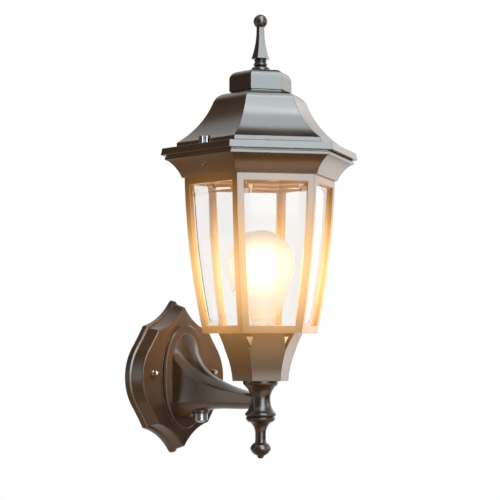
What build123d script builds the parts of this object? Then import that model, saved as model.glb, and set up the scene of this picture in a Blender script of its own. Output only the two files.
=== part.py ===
from build123d import *
import math
import os

# Outdoor wall lantern in millimetres. The origin is midway between the two wall-box screws, on the wall.
# X runs along the wall, Y into the wall and Z up. The lantern stands off the wall towards -Y.

# Overall sizes
reach = 123.0               # wall to lantern axis
stud_spacing = 70.0         # between the two cap nuts
box_screw_spacing = 88.9    # between the two slots of the box strap
stud_edge = 19.0            # cap nut to the widest part of the plate
strap_edge = 26.05          # box screw to the point of the plate
plate_depth = 19.7          # wall to the front face of the plate
plate_z = -3.5              # centre of the plate below the line of the studs
hub_top_z = -5.9            # level where the lantern stands on the hub
cup_height = 41.4
cage_height = 135.2
cove_height = 15.0
roof_rise = 44.9

# Half widths across flats of the six-sided body, and what each stage stands out from the one below
cup_bottom_half = 21.7
cup_margin = 7.1            # screws in the ring to the top edge of the cup
ring_ledge = 9.8            # cup's top edge to the cage's faces
cage_top_half = 58.8
crown_ledge = 2.1
cove_overhang = 13.0
lip_overhang = 3.2
brim = 12.2                 # lip to the foot of the roof's bell
roof_top_half = 25.0
cap_inset = 0.6

# Walls, seats and small features
gasket_thick = 1.5
sheet = 2.0                 # steel straps
cup_wall = 3.0
cage_wall = 4.0
flange_thick = 3.0
crown_wall = 2.2
roof_wall = 2.3
neck_height = 3.2
rim_height = 2.6
rim_gap = 1.5               # shadow gap under the roof lip
lip_height = 6.1
stile = 6.0                 # width of a corner post on each face
rail = 6.4                  # height of the top and bottom rails
pane_thick = 3.0
pane_lap = 1.4              # pane behind the frame on each side
boss_proud = 4.0            # oval boss in front of the plate
boss_half_width = 26.0
boss_half_height = 48.0
arm_wall = 3.2

# Screws and turned pieces, radii
stud_r = 2.0
box_slot_r = 2.5
box_slot_length = 10.0
thumb_r = 2.0
thumb_head_r = 4.6
thumb_head_height = 6.0
washer_thick = 0.8
thumb_set = 1.1             # foot of the bell to each thumbscrew's axis
pipe_r = 5.0
pipe_bore_r = 3.6
finial_stud_r = 3.0
bulb_r = 30.0
bulb_cap_r = 13.0
holder_wall = 2.95
holder_bead = 1.6
shell_wall = 1.0
lead_r = 1.0

# Clearances
thread_gap = 0.08           # screw in its hole
slip_gap = 0.15             # parts that are slid together
glass_gap = 0.15            # sealant between pane and frame
shell_gap = 0.5             # bulb cap in the screw shell
holder_room = 3.3           # lamp holder in the ring between cup and cage
screw_margin = 5.0          # ring's bore to the screws round it

# Sizes that follow from the ones above
plate_half_width = stud_spacing / 2 + stud_edge
plate_half_height = box_screw_spacing / 2 + strap_edge
crown_bottom_half = cage_top_half + crown_ledge
rim_half = crown_bottom_half + cove_overhang
lip_half = rim_half + lip_overhang
step_half = lip_half - brim
cap_half = roof_top_half - cap_inset
thumb_place = step_half + thumb_set
shell_r = bulb_cap_r + shell_gap
holder_r = shell_r + shell_wall + slip_gap + holder_wall
flange_bore = holder_r + holder_bead + holder_room
cup_screw_place = flange_bore + screw_margin
cup_top_half = cup_screw_place + cup_margin
cage_bottom_half = cup_top_half + ring_ledge

# Levels above the hub top, along the lantern axis
ring_z = cup_height
crown_z = ring_z + cage_height
rim_z = crown_z + cove_height
neck_z = rim_z + rim_height
seal_z = neck_z + neck_height
ceiling_z = seal_z + gasket_thick
lip_z = neck_z + rim_gap
ledge_z = lip_z + lip_height
step_z = ledge_z + 2.2
ogee_z = step_z + 3.0
roof_top_z = ogee_z + roof_rise
cap_z = roof_top_z + 1.5
finial_z = cap_z + 18.5
pocket_z = step_z - 1.6
knob_z = pocket_z + washer_thick
corner = 1 / math.cos(math.pi / 6)
lantern = Pos(0, -reach, hub_top_z)
bracket = Pos(0, 0, plate_z)


def edges_of(steps):
    """Lines and arcs through the steps: a point is a line's end, a pair is an arc's middle and end."""
    here = steps[0]
    edges = []
    for step in steps[1:]:
        if isinstance(step, list):
            edges.append(ThreePointArc(here, step[0], step[1]))
            here = step[1]
        else:
            edges.append(Line(here, step))
            here = step
    return edges


def end_of(step):
    """The end point of a step."""
    if isinstance(step, list):
        return step[1]
    return step


def hexagonal(steps):
    """Six-sided solid whose half width across flats follows the steps from bottom to top."""
    right = edges_of(steps)
    left = [mirror(edge, about=Plane.YZ) for edge in right]
    low = steps[0]
    high = end_of(steps[-1])
    ends = [Line((-low[0], low[1]), low), Line((-high[0], high[1]), high)]
    slab = extrude(Plane.XZ * make_face(right + left + ends), amount=160, both=True)
    return slab & (Rot(0, 0, 60) * slab) & (Rot(0, 0, 120) * slab)


def turned(steps):
    """Round solid about Z whose radius follows the steps from bottom to top."""
    side = edges_of(steps)
    low = steps[0]
    high = end_of(steps[-1])
    if low[0] > 0:
        side.append(Line((0, low[1]), low))
    if high[0] > 0:
        side.append(Line(high, (0, high[1])))
    side.append(Line((0, high[1]), (0, low[1])))
    return revolve(Plane.XZ * make_face(side), Axis.Z)


def rod(radius, low, high):
    """Cylinder about Z between two levels."""
    return Pos(0, 0, low) * Cylinder(radius, high - low, align=(Align.CENTER, Align.CENTER, Align.MIN))


def tube(radius, bore, low, high):
    """Pipe about Z between two levels."""
    return rod(radius, low, high) - rod(bore, low - 1, high + 1)


def along_wall_axis(shape, x, z):
    """Turns a shape made about Z so that its +Z points out from the wall, at x and z."""
    return Pos(x, 0, z) * Rot(90, 0, 0) * shape


def slab_between(low, high):
    """Wide block between two levels."""
    return Pos(0, 0, (low + high) / 2) * Box(320, 320, high - low)


def hex_nut(flats, height, bore):
    """Six-sided nut standing on Z = 0."""
    body = extrude(RegularPolygon(flats / 2, 6, major_radius=False), amount=height)
    return body - rod(bore, -1, height + 1)


def slotted_screw(head_r, head_height, shank_r, length):
    """Screw with its head above Z = 0 and its shank below, with a driver slot."""
    screw = rod(head_r, 0, head_height) + rod(shank_r, -length, 0)
    slot = Pos(0, 0, head_height) * Box(2 * head_r + 1, head_r * 0.3, head_height)
    return screw - slot


def half_at(low, mid, high, level):
    """Half width at a level on the arc through three (half width, level) points."""
    ax, az = mid[0] - low[0], mid[1] - low[1]
    bx, bz = high[0] - low[0], high[1] - low[1]
    area = 2 * (ax * bz - az * bx)
    a2 = ax * ax + az * az
    b2 = bx * bx + bz * bz
    cx = (bz * a2 - az * b2) / area
    cz = (ax * b2 - bx * a2) / area
    radius = math.hypot(cx, cz)
    rise = level - low[1] - cz
    side = -1 if cx > 0 else 1
    return low[0] + cx + side * math.sqrt(radius * radius - rise * rise)


def around(count, start=0.0):
    """Turns about the lantern axis, evenly spaced."""
    return [Rot(0, 0, start + 360 * i / count) for i in range(count)]


def save(name, *shapes):
    """Writes one node as a STEP file of separate solids."""
    solids = []
    for shape in shapes:
        solids.extend(shape.solids())
    node = Compound(label=name, children=solids) if len(solids) > 1 else solids[0]
    node.label = name
    export_step(node, os.path.join("parts", name + ".step"))


os.makedirs("parts", exist_ok=True)


# Wall plate: a scalloped shield with a rim, a sloping wall and a flat front
def shield(scale):
    """Outline of the wall plate about its centre, pointed above and below."""
    w = plate_half_width * scale
    h = plate_half_height * scale
    tip = (0.041 * w, 0.982 * h)
    shoulder = (0.617 * w, 0.664 * h)
    waist = (0.824 * w, 0.409 * h)
    quarter = [
        tip,
        [(0.24 * w, 0.811 * h), shoulder],
        [(0.712 * w, 0.541 * h), waist],
    ]
    above = edges_of(quarter)
    right = above + [mirror(edge, about=Plane.XZ) for edge in above]
    right.append(ThreePointArc(waist, (w, 0), (waist[0], -waist[1])))
    left = [mirror(edge, about=Plane.YZ) for edge in right]
    caps = [ThreePointArc((-tip[0], s * tip[1]), (0, s * h), (tip[0], s * tip[1])) for s in (1, -1)]
    return make_face(right + left + caps)


def shield_stack(stages):
    """Ruled skin through shield outlines, each a distance from the wall and a scale."""
    return loft([Plane.XZ.offset(away) * shield(scale) for away, scale in stages], ruled=True)


plate_face = plate_depth
boss_face = plate_depth + boss_proud
plate_back = gasket_thick
plate_inner = plate_depth - 3.0
plate = shield_stack(
    [
        (plate_back, 1.0),
        (plate_back + 4.6, 0.985),
        (plate_back + 5.4, 0.955),
        (plate_face - 0.6, 0.905),
        (plate_face, 0.892),
    ]
)
plate = plate - shield_stack([(plate_back - 0.5, 0.935), (plate_inner, 0.86)])
oval_outline = Ellipse(boss_half_width, boss_half_height)
oval = extrude(Plane.XZ.offset(plate_face - 1) * oval_outline, amount=boss_proud + 1)
oval = chamfer(oval.edges().group_by(Axis.Y)[0], 1.2)
plate = plate + oval
wire_hole = Pos(0, 0, -13) * Rot(90, 0, 0) * rod(8, 0, 40)
plate = plate - wire_hole
arm_screw_z = (13.0, -27.5)
arm_screw_r = 2.4
for z in arm_screw_z:
    plate = plate - along_wall_axis(rod(arm_screw_r + thread_gap, 0, 40), 0, z)
stud_places = [(-stud_spacing / 2, -plate_z), (stud_spacing / 2, -plate_z)]
for x, z in stud_places:
    plate = plate - along_wall_axis(rod(stud_r + 0.3, 0, 40), x, z)
save("backplate", bracket * plate)

seal = extrude(Plane.XZ * shield(0.99), amount=gasket_thick)
seal = seal - extrude(Plane.XZ * shield(0.94), amount=gasket_thick)
save("wall_gasket", bracket * seal)

# Straps behind the plate: the upright one goes on the wall box, the level one carries the studs
strap_half = 9.0
strap_length = box_screw_spacing + box_slot_length + 5
box_strap = extrude(Plane.XZ * RectangleRounded(2 * strap_half, strap_length, 5), amount=sheet)
box_slot = SlotOverall(box_slot_length, 2 * box_slot_r, rotation=90)
for side in (-1, 1):
    cut = extrude(Plane.XZ * (Pos(0, side * box_screw_spacing / 2) * box_slot), amount=2 * sheet, both=True)
    box_strap = box_strap - cut
pivot_r = 2.5
box_strap = box_strap - along_wall_axis(rod(pivot_r + thread_gap, -5, 10), 0, 0)
ground_z = 24.0
ground_r = 1.9
box_strap = box_strap - along_wall_axis(rod(ground_r + thread_gap, -5, 10), 0, ground_z)
save("box_strap", box_strap)

stud_strap_outline = RectangleRounded(stud_spacing + 14, 2 * strap_half, 5)
stud_strap = extrude(Plane.XZ.offset(sheet) * stud_strap_outline, amount=sheet)
stud_strap = stud_strap - along_wall_axis(rod(pivot_r + thread_gap, -5, 10), 0, 0)
for side in (-1, 1):
    hole = rod(stud_r + thread_gap, -5, 10)
    stud_strap = stud_strap - along_wall_axis(hole, side * stud_spacing / 2, 0)
save("stud_strap", stud_strap)

pivot = Pos(0, 0, 2 * sheet) * slotted_screw(4.5, 2.6, pivot_r, 2 * sheet)
save("strap_screw", along_wall_axis(pivot, 0, 0))
ground = Pos(0, 0, sheet) * slotted_screw(3.8, 2.2, ground_r, sheet)
save("ground_screw", along_wall_axis(ground, 0, ground_z))

# Studs through the plate, with ball-ended cap nuts outside
stud_end = plate_face + 3.6
nut_skin = turned([(3.2, 0), (3.2, 0.9), (2.8, 1.2), (2.8, 2.6)])
nut_skin = nut_skin + (Pos(0, 0, 2.9) * Sphere(3.0))
cap_nut = nut_skin - rod(stud_r + thread_gap, -1, 4.0)
studs = []
nuts = []
stud_nuts = []
for side in (-1, 1):
    x = side * stud_spacing / 2
    studs.append(along_wall_axis(rod(stud_r, sheet, stud_end), x, 0))
    nuts.append(along_wall_axis(Pos(0, 0, plate_face) * cap_nut, x, 0))
    stud_nuts.append(along_wall_axis(Pos(0, 0, 2 * sheet) * hex_nut(7, 3.2, stud_r + thread_gap), x, 0))
save("mounting_studs", *studs)
save("cap_nuts", *nuts)
save("stud_lock_nuts", *stud_nuts)

# Terminal block inside the plate, below the straps
block_z = -40.0
block_half = 5.0
block = Pos(0, -plate_inner + 5, block_z) * Box(26, 10, 2 * block_half)
for x in (-8, -3.8, 3.8, 8):
    block = block - (Pos(x, -plate_inner + 4, block_z + 1) * Cylinder(1.3, 10))
for x in (-8, 0, 8):
    block = block - along_wall_axis(rod(2.2, plate_inner - 11, plate_inner - 7), x, block_z - 1)
save("terminal_block", bracket * block)

# Hub: a turned baluster with a bore for the lamp pipe and a cross hole for the arm
arm_level = -17.3
spigot_r = 4.8
hub_skin = turned(
    [
        (11.6, -31.0),
        [(13.5, -29.6), (12.9, -27.6)],
        [(9.9, -23.0), (8.8, -17.6)],
        [(9.9, -9.6), (13.6, -4.4)],
        [(15.0, -2.9), (15.5, -1.6)],
        (15.5, 0),
    ]
)
hub = hub_skin - rod(pipe_r + thread_gap, -24.5, 1) - rod(finial_stud_r + thread_gap, -32, -24)
cross = Pos(0, 0, arm_level) * Rot(-90, 0, 0) * rod(spigot_r + slip_gap, 0, 20)
hub = hub - cross
save("hub", lantern * hub)

drop = turned(
    [
        (0, -67.4),
        [(2.1, -67.0), (2.9, -65.8)],
        (3.3, -65.0),
        [(7.2, -62.3), (9.15, -58.9)],
        [(8.0, -56.0), (5.0, -53.6)],
        (4.7, -51.0),
        (4.7, -46.4),
        [(5.6, -41.0), (9.2, -36.0)],
        [(12.4, -34.0), (12.9, -32.2)],
        (12.0, -31.0),
    ]
)
drop = drop - rod(finial_stud_r + thread_gap, -42, -30)
save("lower_finial", lantern * drop)
save("lower_finial_stud", lantern * rod(finial_stud_r, -41, -25))

# Arm: a hollow curved bracket from the oval boss to the hub
# Each station is a share of the arm's length, the levels of its ridge, shoulder, lower crease and
# underside above the plate's centre, and its half width.
arm_root_margin = 8.0       # edge of the boss to the arm's root
root_ridge = boss_half_height - arm_root_margin
root_under = arm_root_margin + 0.5 - boss_half_height
root_half = boss_half_width - arm_root_margin - 0.8
stations = [
    (0.0, root_ridge, 20.0, -24.0, root_under, root_half),
    (0.055, 26.5, 11.5, -23.5, -37.0, 15.6),
    (0.19, 11.2, 1.6, -23.0, -32.4, 12.9),
    (0.35, 2.0, -5.4, -22.6, -29.2, 10.8),
    (0.56, -5.4, -10.4, -22.3, -27.9, 9.1),
    (0.80, -11.2, -13.6, -22.2, -27.5, 8.3),
    (1.0, -13.6, -15.4, -22.1, -27.3, 8.0),
]


def arm_section(away, ridge, shoulder, crease, under, half):
    """Arched section: flat sides, a bowed top and a bowed underside."""
    top = (ridge - shoulder) * 4 / 3
    low = (crease - under) * 4 / 3
    bow = 0.5 * half
    edges = [
        Line((half, crease), (half, shoulder)),
        Bezier((half, shoulder), (bow, shoulder + top), (-bow, shoulder + top), (-half, shoulder)),
        Line((-half, shoulder), (-half, crease)),
        Bezier((-half, crease), (-bow, crease - low), (bow, crease - low), (half, crease)),
    ]
    return Plane.XZ.offset(away) * make_face(edges)


arm_run = reach - boss_face
outer_sections = []
inner_sections = []
for share, ridge, shoulder, crease, under, half in stations:
    away = boss_face + share * arm_run
    outer_sections.append(arm_section(away, ridge, shoulder, crease, under, half))
    if share < 0.4:
        inner_sections.append(
            arm_section(
                away,
                ridge - 1.5 * arm_wall,
                shoulder - 0.8 * arm_wall,
                crease + 0.3 * arm_wall,
                under + 1.3 * arm_wall,
                half - arm_wall,
            )
        )
arm = loft(outer_sections)
hollow = loft(inner_sections)
arm_axis_z = hub_top_z + arm_level - plate_z
sensor_away = boss_face + 19.5
pad_z = -31.4
posts = Part()
for z in arm_screw_z:
    posts = posts + along_wall_axis(rod(5.0, boss_face - 1, boss_face + 13), 0, z)
arm = arm - (hollow - posts)
pad_height = 6.0
sensor_axis = Pos(0, -sensor_away, 0)
arm = arm + (sensor_axis * rod(8.0, pad_z, pad_z + pad_height))
arm = arm - (sensor_axis * rod(8.0, pad_z - 12, pad_z))
arm = arm - (sensor_axis * rod(8.2, pad_z + pad_height, pad_z + 12))
for z in arm_screw_z:
    arm = arm - along_wall_axis(rod(arm_screw_r + thread_gap, 0, boss_face + 11), 0, z)
sensor_r = 5.0
arm = arm - (sensor_axis * rod(sensor_r + slip_gap, pad_z - 1, -20))
hub_place = Pos(0, -reach, hub_top_z - plate_z)
arm = arm - (hub_place * hub_skin)
spigot = hub_place * Pos(0, 0, arm_level) * Rot(-90, 0, 0) * rod(spigot_r, 6.0, 20)
arm = arm + spigot
arm = arm - (hub_place * rod(pipe_r + 0.6, -26, 0))
wire_way = hub_place * Pos(0, 0, arm_level) * Rot(-90, 0, 0) * rod(3.2, 0, arm_run * 0.75)
arm = arm - wire_way
save("arm", bracket * arm)

arm_screws = []
for z in arm_screw_z:
    screw = Pos(0, 0, plate_inner) * Rot(180, 0, 0) * slotted_screw(4.4, 2.8, arm_screw_r, 14.5)
    arm_screws.append(along_wall_axis(screw, 0, z))
save("arm_screws", bracket * Part(children=arm_screws))

# Dusk sensor under the arm
sensor_place = bracket * Pos(0, -sensor_away, pad_z)
ring = tube(7.2, sensor_r + slip_gap, -1.6, 0)
body = rod(6.4, -8.0, -1.6) + rod(sensor_r, -1.6, 11.0)
body = body - rod(5.2, -9, -6.6)
lens = turned([(0, -9.8), [(3.6, -9.2), (5.0, -7.8)], (5.0, -6.6)])
save("photocell_ring", sensor_place * ring)
save("photocell_body", sensor_place * body)
save("photocell_lens", sensor_place * lens)
sensor_nut = Pos(0, 0, pad_height) * hex_nut(13, 3.0, sensor_r + thread_gap)
save("photocell_nut", sensor_place * sensor_nut)

# Lower cup of the lantern: a flared six-sided calyx with notched corners
cup_mid_half = cup_bottom_half + 0.264 * (cup_top_half - cup_bottom_half)
cup_mid_z = 0.469 * cup_height
cup = hexagonal([(cup_bottom_half, 0), [(cup_mid_half, cup_mid_z), (cup_top_half, cup_height)]])
cup_floor = 4.0
cup_hollow = hexagonal(
    [
        (cup_bottom_half - cup_wall, -1),
        [(cup_mid_half - cup_wall, cup_mid_z), (cup_top_half - cup_wall, cup_height + 1)],
    ]
)
cup_hollow = cup_hollow & slab_between(cup_floor, cup_height - flange_thick)
cup = cup - cup_hollow
cup = cup - rod(flange_bore, cup_height - 5, cup_height + 1) - rod(pipe_r + thread_gap, -1, 5)
notch_width = 7.2           # cut from each face beside a corner, at the top
notch_depth = 15.0
notch_low = cup_height - notch_depth
apex_half = half_at((cup_bottom_half, 0), (cup_mid_half, cup_mid_z), (cup_top_half, cup_height), notch_low)
apex = apex_half * math.tan(math.pi / 6)
petal_top = cup_top_half * math.tan(math.pi / 6) - notch_width
beyond = 2 * cup_top_half
notch = make_face(
    Polyline(
        (petal_top, cup_height + 0.5),
        (beyond, cup_height + 0.5),
        (beyond, notch_low),
        (apex, notch_low),
        close=True,
    )
)
notch_start = apex_half - cup_wall - 0.6
notch_solid = extrude(Plane.YZ.offset(notch_start) * notch, amount=beyond)
edge = 3 * cup_top_half * math.tan(math.pi / 6)
sixth = make_face(Polyline((0, 0), (3 * cup_top_half, edge), (3 * cup_top_half, -edge), close=True))
notch_solid = notch_solid & extrude(sixth, amount=cup_height + 1)
for turn in around(6):
    cup = cup - (turn * notch_solid) - (turn * mirror(notch_solid, about=Plane.XZ))
cup_screw_r = 1.5
cup_screw_hole = rod(cup_screw_r + thread_gap, cup_height - 6, cup_height + 1)
for turn in around(6):
    cup = cup - (turn * Pos(cup_screw_place, 0, 0) * cup_screw_hole)
save("calyx", lantern * cup)

# Cage: six windows between curved corner posts
cage_mid_half = cage_bottom_half + 0.708 * (cage_top_half - cage_bottom_half)
cage_mid_z = ring_z + 0.5126 * cage_height


def barrel(inset):
    """Bowed six-sided body of the cage, set in from its outer faces."""
    return hexagonal(
        [
            (cage_bottom_half - inset, ring_z),
            [(cage_mid_half - inset, cage_mid_z), (cage_top_half - inset, crown_z)],
        ]
    )


def window(margin):
    """Window outline on one face, less the margin, in the face's own plane."""
    points = []
    for half, z in ((cage_bottom_half, ring_z), (cage_mid_half, cage_mid_z), (cage_top_half, crown_z)):
        points.append((half * math.tan(math.pi / 6) - stile - margin, z))
    right = ThreePointArc(points[0], points[1], points[2])
    left = mirror(right, about=Plane.YZ)
    low = Line((-points[0][0], ring_z), points[0])
    high = Line((-points[2][0], crown_z), points[2])
    height = cage_height - 2 * rail - 2 * margin
    return make_face([right, left, low, high]) & (Pos(0, ring_z + cage_height / 2) * Rectangle(160, height))


def through_face(sketch):
    """A face sketch pushed through the +X wall of the cage."""
    return extrude(Plane.YZ.offset(20) * sketch, amount=60)


cage_floor_z = ring_z + flange_thick
cage_roof_z = crown_z - flange_thick
cage = barrel(0) - (barrel(cage_wall) & slab_between(cage_floor_z, cage_roof_z))
opening = through_face(window(0))
for turn in around(6):
    cage = cage - (turn * opening)
cage = cage - rod(flange_bore + 1.5, ring_z - 1, cage_floor_z + 1)
top_opening_half = cage_top_half - cage_wall - 4.8
cage = cage - hexagonal([(top_opening_half, cage_roof_z - 1), (top_opening_half, crown_z + 1)])
crown_screw_place = (top_opening_half + 4.4) * corner
crown_screw_r = 1.5
for turn in around(6, 30):
    hole = rod(crown_screw_r + thread_gap, cage_roof_z - 4, crown_z + 1)
    cage = cage - (turn * Pos(crown_screw_place, 0, 0) * hole)
    drain = rod(3.5, ring_z - 1, cage_floor_z + 1)
    cage = cage - (turn * Pos(cup_top_half * corner - 4.0, 0, 0) * drain)
for turn in around(6):
    hole = rod(cup_screw_r + thread_gap, ring_z - 1, cage_floor_z + 1)
    cage = cage - (turn * Pos(cup_screw_place, 0, 0) * hole)
save("cage", lantern * cage)

# Panes: one curved sheet of glass behind each window
pane_outer = cage_wall + glass_gap
pane_inner = pane_outer + pane_thick
pane_ring = barrel(pane_outer) - barrel(pane_inner)
pane = pane_ring & through_face(window(-pane_lap))
pane_names = ["right", "back_right", "back_left", "left", "front_left", "front_right"]
for turn, name in zip(around(6), pane_names):
    save("pane_" + name, lantern * turn * pane)

# Spring clips that hold the panes at the floor and under the top flange
clip_sheet = 0.8
clip_half = 4.0
clip_gap = 0.05             # clip to pane and to the cage's wall
tab_height = rail - flange_thick


def cage_half_at(z):
    """Half width of the cage's outer faces at a level."""
    return half_at((cage_bottom_half, ring_z), (cage_mid_half, cage_mid_z), (cage_top_half, crown_z), z)


def clip(level, seat, up):
    """Bent strip with a foot on the flange under the pane's edge and a tab behind the pane."""
    back = cage_half_at(level) - pane_inner - clip_gap
    wall = cage_half_at(min(seat, seat + up * clip_sheet)) - cage_wall - clip_gap
    foot_length = wall - back + clip_sheet
    foot_place = Pos(wall - foot_length / 2, 0, seat + up * clip_sheet / 2)
    foot = foot_place * Box(foot_length, 2 * clip_half, clip_sheet)
    tab_place = Pos(back - clip_sheet / 2, 0, seat + up * tab_height / 2)
    tab = tab_place * Box(clip_sheet, 2 * clip_half, tab_height)
    return foot + tab


clips = []
for turn in around(6):
    clips.append(turn * clip(ring_z + rail - pane_lap, cage_floor_z, 1))
    clips.append(turn * clip(crown_z - rail, cage_roof_z, -1))
save("pane_clips", lantern * Part(children=clips))

cup_screws = []
for turn in around(6):
    screw = slotted_screw(2.8, 1.8, cup_screw_r, 2 * flange_thick)
    cup_screws.append(turn * Pos(cup_screw_place, 0, cage_floor_z) * screw)
save("calyx_screws", lantern * Part(children=cup_screws))

# Crown: a cove under the roof, with a neck for the seal and a boss for each thumbscrew
cove_mid = (crown_bottom_half + 0.395 * (rim_half - crown_bottom_half), crown_z + 0.607 * cove_height)
cove_end = (rim_half - 1.6, rim_z)
neck_half = rim_half - 1.2
crown = hexagonal(
    [
        (crown_bottom_half, crown_z),
        [cove_mid, cove_end],
        (rim_half, rim_z),
        (rim_half, neck_z),
        (neck_half, neck_z),
        (neck_half, seal_z),
    ]
)
crown_floor = crown_z + flange_thick
neck_inner = neck_half - 2.7
crown_hollow = hexagonal(
    [
        (crown_bottom_half - crown_wall, crown_z + crown_wall),
        [
            (cove_mid[0] - crown_wall, cove_mid[1] + crown_wall),
            (neck_inner, rim_z + 1.2),
        ],
        (neck_inner, seal_z + 1),
    ]
)
crown_hollow = crown_hollow & slab_between(crown_floor, seal_z + 2)
boss_r = 4.2
insert_r = 3.1
insert_low = neck_z - 2.5
thumb_turns = {"left": Rot(0, 0, 180), "right": Rot(0, 0, 0)}
for turn in thumb_turns.values():
    crown_hollow = crown_hollow - (turn * Pos(thumb_place, 0, 0) * rod(boss_r, crown_floor, seal_z))
crown = crown - crown_hollow
crown = crown - hexagonal([(top_opening_half, crown_z - 1), (top_opening_half, crown_floor + 1)])
for turn in thumb_turns.values():
    crown = crown - (turn * Pos(thumb_place, 0, 0) * rod(thumb_r + 0.3, crown_z, seal_z + 1))
    crown = crown - (turn * Pos(thumb_place, 0, 0) * rod(insert_r, insert_low, seal_z + 1))
for turn in around(6, 30):
    hole = rod(crown_screw_r + thread_gap, crown_z - 1, crown_floor + 1)
    crown = crown - (turn * Pos(crown_screw_place, 0, 0) * hole)
save("crown", lantern * crown)

insert = tube(insert_r - 0.02, thumb_r + thread_gap, insert_low, seal_z)
inserts = []
for turn in thumb_turns.values():
    inserts.append(turn * Pos(thumb_place, 0, 0) * insert)
save("crown_inserts", lantern * Part(children=inserts))

crown_screws = []
for turn in around(6, 30):
    screw = slotted_screw(2.8, 1.8, crown_screw_r, 2 * flange_thick)
    crown_screws.append(turn * Pos(crown_screw_place, 0, crown_floor) * screw)
save("crown_screws", lantern * Part(children=crown_screws))

roof_seal = hexagonal([(neck_half, seal_z), (neck_half, ceiling_z)])
roof_seal = roof_seal - hexagonal([(neck_inner + 0.1, seal_z - 1), (neck_inner + 0.1, ceiling_z + 1)])
save("roof_gasket", lantern * roof_seal)

# Roof: a bell-shaped lid with a stepped brim and a pocket for each thumbscrew
shoulder_half = roof_top_half + 0.308 * (step_half - roof_top_half)
sweep_mid_half = roof_top_half + 0.587 * (step_half - roof_top_half)
crest_half = roof_top_half + 0.206 * (step_half - roof_top_half)
bell = [
    (step_half, ogee_z),
    [(sweep_mid_half, ogee_z + 0.348 * roof_rise), (shoulder_half, ogee_z + 0.784 * roof_rise)],
    [(crest_half, ogee_z + 0.929 * roof_rise), (roof_top_half, roof_top_z)],
]
roof = hexagonal([(lip_half, lip_z), (lip_half - 1.1, ledge_z), (step_half, step_z)] + bell)
plinth_half = cap_half - 1.5
spigot_half = cap_half - 2.5 - 0.3
roof = roof + hexagonal([(plinth_half, roof_top_z - 1), (plinth_half, cap_z)])
roof = roof + hexagonal([(spigot_half, cap_z - 1), (spigot_half, cap_z + 2.5)])


def inner(point):
    """A point of the bell moved in by the roof's wall."""
    return (point[0] - roof_wall, point[1] - roof_wall)


roof_hollow = hexagonal(
    [
        (step_half - roof_wall, lip_z - 1),
        inner(bell[0]),
        [inner(bell[1][0]), inner(bell[1][1])],
        [inner(bell[2][0]), inner(bell[2][1])],
    ]
)
for turn in thumb_turns.values():
    roof_hollow = roof_hollow - (turn * Pos(thumb_place, 0, 0) * rod(7.6, ceiling_z, roof_top_z))
roof = roof - roof_hollow
lip_inner = lip_half - 3.0
roof = roof - hexagonal([(lip_inner, lip_z - 1), (lip_inner, ceiling_z)])
for turn in thumb_turns.values():
    place = turn * Pos(thumb_place, 0, 0)
    roof = roof - (place * rod(thumb_head_r + 1.0, pocket_z, pocket_z + 14))
    roof = roof - (place * rod(thumb_r + 0.3, lip_z, pocket_z + 1))
roof = roof - rod(finial_stud_r + slip_gap, roof_top_z - 10, cap_z + 5)
save("roof", lantern * roof)

cap = hexagonal(
    [
        (cap_half, cap_z),
        (cap_half, cap_z + 9.8),
        [(cap_half - 1.7, cap_z + 15.2), (cap_half - 7.0, finial_z - 0.5)],
        (cap_half - 12.0, finial_z),
    ]
)
cap_inner_half = cap_half - 2.5
cap = cap - hexagonal(
    [
        (cap_inner_half, cap_z - 1),
        (cap_inner_half, cap_z + 9.0),
        [(cap_inner_half - 1.7, cap_z + 13.2), (cap_inner_half - 7.0, finial_z - 3.0)],
    ]
)
cap = cap - rod(finial_stud_r + slip_gap, cap_z, finial_z + 1)
save("roof_cap", lantern * cap)

# Finial: turned rings, a flared six-sided spike and a ball
ball_r = 6.2
spike_z = finial_z + 11.6
ball_z = spike_z + 33.5
rings = turned(
    [
        (8.0, finial_z),
        [(8.6, finial_z + 1.6), (7.0, finial_z + 4.0)],
        (4.9, finial_z + 4.7),
        [(6.1, finial_z + 6.5), (5.0, finial_z + 8.3)],
        (4.8, finial_z + 8.9),
        [(5.5, finial_z + 9.8), (4.9, finial_z + 10.7)],
        (4.6, spike_z + 1),
    ]
)
spike = hexagonal([(7.1, spike_z), [(4.25, spike_z + 12), (3.2, ball_z - 3)]])
finial = rings + spike + (Pos(0, 0, ball_z) * Sphere(ball_r))
finial_hole = finial_z + 8.5
finial = finial - rod(finial_stud_r + thread_gap, finial_z - 1, finial_hole)
save("top_finial", lantern * finial)

under_roof = roof_top_z - roof_wall
finial_rod = rod(finial_stud_r, under_roof - 7.5, finial_hole - 0.3)
save("finial_stud", lantern * finial_rod)
save("finial_washer", lantern * tube(6.4, finial_stud_r + slip_gap, under_roof - 1.0, under_roof))
stud_nut = Pos(0, 0, under_roof - 6.0) * hex_nut(10, 5.0, finial_stud_r + thread_gap)
save("finial_nut", lantern * stud_nut)

# Thumbscrews through the brim into the crown, each with a nylon washer
knurls = 18
knob_points = []
for i in range(2 * knurls):
    angle = math.pi * i / knurls
    r = thumb_head_r if i % 2 else thumb_head_r - 0.4
    knob_points.append((r * math.cos(angle), r * math.sin(angle)))
knob = extrude(make_face(Polyline(*knob_points, close=True)), amount=thumb_head_height)
thumb_tip = rim_z - 5.2
thumbscrew = Pos(0, 0, knob_z) * knob + rod(thumb_r, thumb_tip, knob_z)
driver_slot = Pos(0, 0, knob_z + thumb_head_height) * Box(2 * thumb_head_r + 1, 1.2, 2.4)
thumbscrew = thumbscrew - driver_slot
washer = tube(thumb_head_r - 0.1, thumb_r + 0.1, pocket_z, knob_z)
for name, turn in thumb_turns.items():
    place = lantern * turn * Pos(thumb_place, 0, 0)
    save("thumbscrew_" + name, place * thumbscrew)
    save("thumb_washer_" + name, place * washer)

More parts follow.
